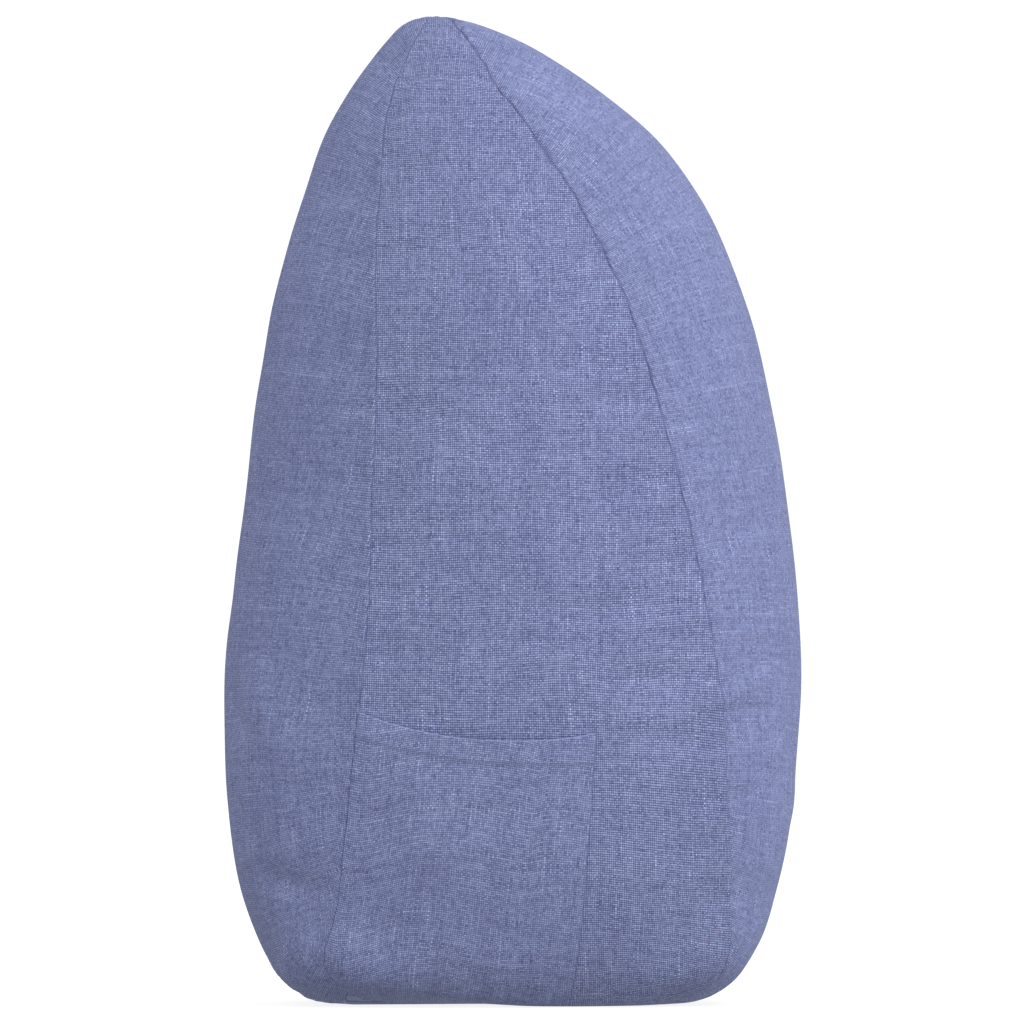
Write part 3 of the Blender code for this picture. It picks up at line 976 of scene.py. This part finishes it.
across_steps = crowded(POCKET_COLUMNS, (1, 1))
low_steps = np.linspace(0, FINE_FROM, POCKET_ROWS - FINE_ROWS)[:-1] ** LOW_EASING
level_steps = np.concatenate([
    low_steps / FINE_FROM ** (LOW_EASING - 1), np.linspace(FINE_FROM, 1, FINE_ROWS + 1)
])
pocket_across, pocket_level = np.meshgrid(across_steps, level_steps)
mouth_ground, _ = pocket_ground(pocket_across[-1:], pocket_level[-1:])
POCKET_WIDTH = float(arc(mouth_ground, axis=1).max())
POCKET_HEIGHT = (MOUTH_AT_EDGE + MOUTH_AT_SEAM) / 2 - POCKET_BOTTOM

SEWN_GAP = 0.5 * MM
LOOSE_GAP = 0.8 * MM
LOOSE_SIDE = 0.08  # share of the width over which the sewn side edges let go
LOOSE_FOOT = 0.16  # share of the height over which the bottom edge lets go
MOUTH_GAP = 7.5 * MM
SLACK_ARCH = 1.1
SLACK_DROP = 1.6


def pocket_lift(across, level):
    """How far the pocket's inner face stands off the cover: sewn, laid, then slack."""
    inside = np.sin(math.pi * np.clip(across, 0, 1))
    from_side = np.clip(np.minimum(across, 1 - across) / LOOSE_SIDE, 0, 1)
    loose = LOOSE_GAP * from_side * np.clip(level / LOOSE_FOOT, 0, 1)
    slack = MOUTH_GAP * inside**SLACK_ARCH * level**SLACK_DROP
    return SEWN_GAP + loose + slack


# The hem's stitching runs straighter than the mouth: its depth below it, in millimetres, from
# the free edge to the seam.
HemDepth = namedtuple("HemDepth", "across depth")
HEM_DEPTHS = (
    HemDepth(0.0, 31.0), HemDepth(0.1, 27.5), HemDepth(0.3, 23.5), HemDepth(0.5, 21.5),
    HemDepth(0.8, 21.5), HemDepth(1.0, 22.5),
)


def hem_depth(across):
    """The depth of the hem's stitching below the mouth, a smooth curve through its table."""
    known, depths = np.array(HEM_DEPTHS).T
    return hermite(known, depths, np.clip(across, 0, 1)) * MM


CLOTH = 1.3 * MM
HEM_CLOTH = 2.8 * MM
HEM_PAST_STITCH = 1 * MM
HEM_SLOPE = 1.4 * MM
EDGE_STITCH = 4 * MM
EDGE_TURN = 9 * MM
EDGE_SLOPE = 1.8 * MM
EDGE_LAYERS = 0.35
STITCH_GROOVE = 1.35 * MM
GROOVE_WIDTH = 0.9 * MM
HEM_PULL, EDGE_PULL = 0.5, 0.14  # how much of the groove each line of stitches draws in
SEWN_IN = 0.6  # share of its thickness that the cloth loses where it enters a seam
BASE_TAKES = 8 * MM  # how near the base seam that starts
BACK_TAKES = 6 * MM  # and how near the back seam
BACK_HIDES_BELOW = 140 * MM  # the height below which the back seam takes the cloth in
BACK_FADE = 30 * MM


def pocket_skin(across, level):
    """The pocket's own thickness: cloth, the hem's layers, the turned edge and grooves. It
    thins where it enters the base seam, and low down where it enters the back seam."""
    below_mouth = (1 - level) * POCKET_HEIGHT
    above_base = level * POCKET_HEIGHT
    from_seam = (1 - across) * POCKET_WIDTH
    from_edge = across * POCKET_WIDTH
    stitched_at = hem_depth(across)
    hem = soft_step(stitched_at + HEM_PAST_STITCH - below_mouth, HEM_SLOPE)
    turned = soft_step(EDGE_TURN - from_edge, EDGE_SLOPE)
    thick = CLOTH + (HEM_CLOTH - CLOTH) * np.maximum(hem, turned * EDGE_LAYERS)
    at_base = bell(above_base, BASE_TAKES)
    at_seam = bell(from_seam, BACK_TAKES)
    at_seam = at_seam * soft_step(BACK_HIDES_BELOW - above_base, BACK_FADE)
    thick = thick * (1 - SEWN_IN * np.maximum(at_base, at_seam))
    groove = HEM_PULL * bell(below_mouth - stitched_at, GROOVE_WIDTH)
    edge_groove = EDGE_PULL * bell(from_edge - EDGE_STITCH, GROOVE_WIDTH)
    stitched = np.maximum(groove, edge_groove)
    # The stitched depth also comes back, to be painted into the colour as shade in the grooves.
    return thick - STITCH_GROOVE * stitched, stitched


WANDER = 0.6 * MM
WANDER_SIZE = 60 * MM


def pocket_faces(across, level):
    """Points of the inner and the outer face, the outward direction, and the stitched
    lines' depth. A slow unevenness keeps the slack cloth from lying like a template."""
    ground, out = pocket_ground(across, level)
    wander = WANDER * unevenness(ground, WANDER_SIZE, seed=8) * np.sin(math.pi * across)
    lift = pocket_lift(across, level) + wander * np.clip(level * 4, 0, 1)
    lift = np.maximum(lift, SEWN_GAP)
    skin, stitched = pocket_skin(across, level)
    inner = ground + lift[..., None] * out
    return inner, inner + skin[..., None] * out, out, stitched


inner_face, outer_face, _, pocket_crease = pocket_faces(pocket_across, pocket_level)

GRAIN_LEAN = 5.5  # degrees by which the pocket's cloth is turned from upright
POCKET_OPENNESS = 0.7
RIM_STEPS = 4
# Crease shades of the rim, from -1, palest, to 1, darkest. The mouth's fold catches the
# light. The upright edges lie in shade, the free one most at its foot, while the sewn one
# is lost there in the cloth's own tone.
BOTTOM_SHADE, MOUTH_SHADE = 0.7, -0.4
SEAM_SHADE_LOW, SEAM_SHADE_ADDED = 0.35, 0.55
FREE_SHADE_LOW, FREE_SHADE_LOST = 1.0, 0.35


def cloth_spots(face):
    """Yarn coordinates on the pocket: arcs both ways from its middle column, turned by the
    lean."""
    middle = face.shape[1] // 2
    along_row = arc(face, axis=1)
    across = face[:, [middle], 0] - (along_row - along_row[:, [middle]])
    level = arc(face, axis=0)
    lean = math.radians(GRAIN_LEAN)
    turned = across * math.cos(lean) - level * math.sin(lean)
    raised = across * math.sin(lean) + level * math.cos(lean)
    return np.stack([turned, raised], -1).reshape(-1, 2)


def build_pocket():
    """The closed sheet: the outer face, the inner face, and a rounded rim joining them."""
    rows, columns = outer_face.shape[:2]
    count = rows * columns
    outer = outer_face.reshape(-1, 3)
    inner = inner_face.reshape(-1, 3)
    corner = np.arange(count).reshape(rows, columns)
    rim = np.concatenate([corner[0, :-1], corner[:-1, -1], corner[-1, :0:-1], corner[:0:-1, 0]])
    centre = (outer[rim] + inner[rim]) / 2
    tangent = np.roll(centre, -1, axis=0) - np.roll(centre, 1, axis=0)
    through = outer[rim] - inner[rim]
    half = np.linalg.norm(through, axis=-1, keepdims=True) / 2
    sideways = unit(np.cross(through, tangent)) * half
    turns = np.linspace(0, math.pi, RIM_STEPS + 2)[1:-1]
    arcs = [centre + through / 2 * math.cos(t) + sideways * math.sin(t) for t in turns]
    points = np.concatenate([outer, inner, *arcs])
    left = np.arange(columns - 1)
    front = bands(corner[:-1, :1], corner[1:, :1], left, left + 1)
    faces = [front, front[:, ::-1] + count]
    rings = [2 * count + k * len(rim) + np.arange(len(rim)) for k in range(RIM_STEPS)]
    rings = [rim, *rings, count + rim]
    for near, far in zip(rings[:-1], rings[1:]):
        faces.append(np.stack([near, np.roll(near, -1), np.roll(far, -1), far], -1))
    faces = np.concatenate(faces)
    spot = cloth_spots(outer_face)
    spots = np.concatenate([spot, spot, *[spot[rim]] * RIM_STEPS])
    height = pocket_level[:, 0]
    seam_side = SEAM_SHADE_LOW + SEAM_SHADE_ADDED * soft_step(height[:-1] - 0.5, 0.12)
    free_side = (FREE_SHADE_LOW - FREE_SHADE_LOST * height)[:0:-1]
    bottom, mouth = np.full(columns - 1, BOTTOM_SHADE), np.full(columns - 1, MOUTH_SHADE)
    creases = np.zeros(len(points))
    # Painted shade in the stitch grooves; on the rim, painted shade and a painted highlight along
    # the mouth.
    creases[:count] = pocket_crease.ravel()
    creases[2 * count:] = np.tile(np.concatenate([bottom, seam_side, mouth, free_side]), RIM_STEPS)
    openness = np.full(len(points), POCKET_OPENNESS)
    openness[2 * count:] = 0.0
    return mesh_object("patch_pocket", points, faces, [spots[faces]], creases, openness)


pocket = build_pocket()
pocket.data.materials.append(linen("slubby blue pocket cloth", seed=8.0))
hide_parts("side_pocket")
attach(pocket, "root")

# The pocket's stitches
# The real ones are two rows of machine stitching in matt blue thread, through the hem and
# through the turned free edge. Each is drawn tight, so it lies in a groove of the cloth.

STITCH_PITCH = 3.2 * MM
STITCH_LENGTH = 2.5 * MM
THREAD_RADIUS = 0.3 * MM
THREAD_RAISED = 0.12 * MM
THREAD_END = 0.12  # least square of the radius at a stitch's ends, as a share
THREAD_SIDES = 6
THREAD_BLUE = (0.33, 0.37, 0.57)
DEEP_TONE, PALE_TONE, TONE_SCALE = 0.8, 1.15, 400.0
LINE_STEPS = 400
EDGE_SEWN_TO = 0.985  # the free edge's stitching stops this share of the way to the mouth


def stitch_line(across, level):
    """Centres, directions and outward directions of stitches a pitch apart along a line of
    the pocket's outer face, which is given by its two shares."""
    _, line, out, _ = pocket_faces(across, level)
    run = arc(line, axis=0)
    at = np.arange(STITCH_PITCH, run[-1] - STITCH_PITCH, STITCH_PITCH)

    def read(values, lengths):
        """Values of the line at lengths along it, by straight lines."""
        return np.stack([np.interp(lengths, run, values[:, k]) for k in range(3)], 1)

    centre = read(line, at)
    return centre, unit(read(line, at + STITCH_PITCH / 2) - centre), read(out, at)


def build_stitches():
    """Each stitch is a short rod whose radius falls towards its ends as the square root of
    one less the fourth power of the way along, closed by a flat end."""
    steps = np.linspace(0, 1, LINE_STEPS)
    hem = stitch_line(steps, 1 - hem_depth(steps) / POCKET_HEIGHT)
    edge = stitch_line(np.full(LINE_STEPS, EDGE_STITCH / POCKET_WIDTH), steps * EDGE_SEWN_TO)
    centre, way, facing = [np.concatenate(pair)[:, None, None] for pair in zip(hem, edge)]
    along = np.array([-1, -0.75, 0, 0.75, 1])[:, None, None]
    turn = (np.arange(THREAD_SIDES) * math.tau / THREAD_SIDES)[:, None]
    radius = THREAD_RADIUS * np.sqrt(np.maximum(1 - along**4, THREAD_END))
    ring = np.cos(turn) * facing + np.sin(turn) * np.cross(way, facing)
    middle = centre + THREAD_RAISED * facing
    points = middle + along * STITCH_LENGTH / 2 * way + radius * ring
    corner = np.arange(points[..., 0].size).reshape(points.shape[:3])
    beyond = np.roll(corner, -1, axis=2)
    quads = np.stack([corner[:, :-1], corner[:, 1:], beyond[:, 1:], beyond[:, :-1]], -1)
    faces = [*quads.reshape(-1, 4), *corner[:, 0], *corner[:, -1, ::-1]]
    spots = points[..., ::2].reshape(-1, 2)
    places = [spots[face] for face in faces]
    plain = np.zeros(corner.size)
    return mesh_object("pocket_stitches", points.reshape(-1, 3), faces, places, plain, plain)


def sewing_thread():
    """Matt blue thread, its shade drifting along the line of stitches."""
    material, n, shader = new_material("blue sewing thread", {"Specular IOR Level": 0.2})
    place = n.add("ShaderNodeUVMap", uv_map="cloth").outputs[0]
    tone = n.between(n.noise(place, TONE_SCALE, 2.0), 0.3, 0.7, DEEP_TONE, PALE_TONE)
    tinted = n.add("ShaderNodeVectorMath", THREAD_BLUE, operation="SCALE")
    n.feed(tinted.inputs["Scale"], tone)
    n.feed(shader.inputs["Base Color"], tinted.outputs[0])
    n.feed(shader.inputs["Roughness"], n.between(tone, DEEP_TONE, PALE_TONE, 0.75, 0.6))
    return material


stitches = build_stitches()
stitches.data.materials.append(sewing_thread())
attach(stitches, "root")

# The room
# A pale floor that runs out of sight, a white surround and one soft lamp up to the right of
# the camera, as for a picture of goods on white.

FLOOR_REACH = 60.0
FLOOR_FINISH = {
    "Base Color": (0.22, 0.22, 0.22, 1),
    "Emission Color": (1, 1, 1, 1),
    "Emission Strength": 0.86,
    "Roughness": 0.9,
    "Specular IOR Level": 0.1,
}
floor_mesh = bpy.data.meshes.new("pale_floor")
corners = [(-1, -1), (1, -1), (1, 1), (-1, 1)]
floor_mesh.from_pydata(
    [(x * FLOOR_REACH, y * FLOOR_REACH, 0) for x, y in corners], [], [(0, 1, 2, 3)]
)
floor_mesh.materials.append(new_material("pale floor", FLOOR_FINISH)[0])
floor = placed("pale_floor", floor_mesh)
floor.visible_diffuse = False

WHITE = (1, 1, 1, 1)
SEEN_WHITE = 1.05
LIGHT_MEAN = 1.32
LEAST_LIGHT = 0.05
LIGHT_SLOPE = (-0.165, -0.18, -0.15)
DARK_SIDES = ((-0.80, 0.0, 0.0), (0.0, 0.0, -1.28))


def white_surround():
    """A white field to the camera. The light it gives is a mean, plus a slope towards where
    most of it comes from, less the dark sides on the left and below, never below a little."""
    world = bpy.data.worlds.new("white surround")
    world.use_nodes = True
    n = Nodes(world.node_tree)
    direction = n.add("ShaderNodeTexCoord").outputs["Generated"]

    def towards(way):
        """The cosine between the light's direction and a way, times the way's length."""
        cosine = n.add("ShaderNodeVectorMath", direction, way, operation="DOT_PRODUCT")
        return cosine.outputs["Value"]

    level = n.plus(towards(LIGHT_SLOPE), LIGHT_MEAN)
    for way in DARK_SIDES:
        level = n.less(level, n.math("MAXIMUM", towards(way), 0.0))
    lit = world.node_tree.nodes["Background"]
    lit.inputs["Color"].default_value = WHITE
    n.feed(lit.inputs["Strength"], n.math("MAXIMUM", level, LEAST_LIGHT))
    seen = n.add("ShaderNodeBackground", WHITE, SEEN_WHITE)
    looked_at = n.add("ShaderNodeLightPath").outputs["Is Camera Ray"]
    mix = n.add("ShaderNodeMixShader", looked_at, lit.outputs[0], seen.outputs[0])
    n.feed(world.node_tree.nodes["World Output"].inputs[0], mix.outputs[0])
    return world


bpy.context.scene.world = white_surround()


def soft_lamp(name, place, aim, size, watts):
    """A square lamp at a place, turned so that its -Z looks at the aim."""
    light = bpy.data.lights.new(name, "AREA")
    light.shape = "SQUARE"
    light.size = size
    light.energy = watts
    lamp = placed(name, light)
    lamp.location = place
    way = np.array(aim, float) - np.array(place, float)
    turn = math.atan2(way[1], way[0]) - math.pi / 2
    tilt = math.atan2(math.hypot(way[0], way[1]), -way[2])
    lamp.rotation_euler = (tilt, 0, turn)


soft_lamp("key lamp", place=(3.2, -2.0, 4.0), aim=(0, 0, 0.5), size=1.6, watts=40)

CAMERA_AWAY = 12.0
CAMERA_HEIGHT = 0.25
CAMERA_ASIDE = 0.0005
FRAME_MIDDLE = 0.4971  # height of the picture's middle on the object's plane
PIXEL = 1.01265 * MM  # what one of the picture's 1024 columns covers there
SENSOR = 36.0
eye = bpy.data.cameras.new("camera")
eye.sensor_width = SENSOR
eye.lens = SENSOR * CAMERA_AWAY / (1024 * PIXEL)
camera = placed("camera", eye)
camera.location = (CAMERA_ASIDE, -CAMERA_AWAY, CAMERA_HEIGHT)
pitch_up = math.atan2(FRAME_MIDDLE - CAMERA_HEIGHT, CAMERA_AWAY)
camera.rotation_euler = (math.pi / 2 + pitch_up, 0, 0)
bpy.context.scene.camera = camera
bpy.context.scene.view_settings.view_transform = "Standard"
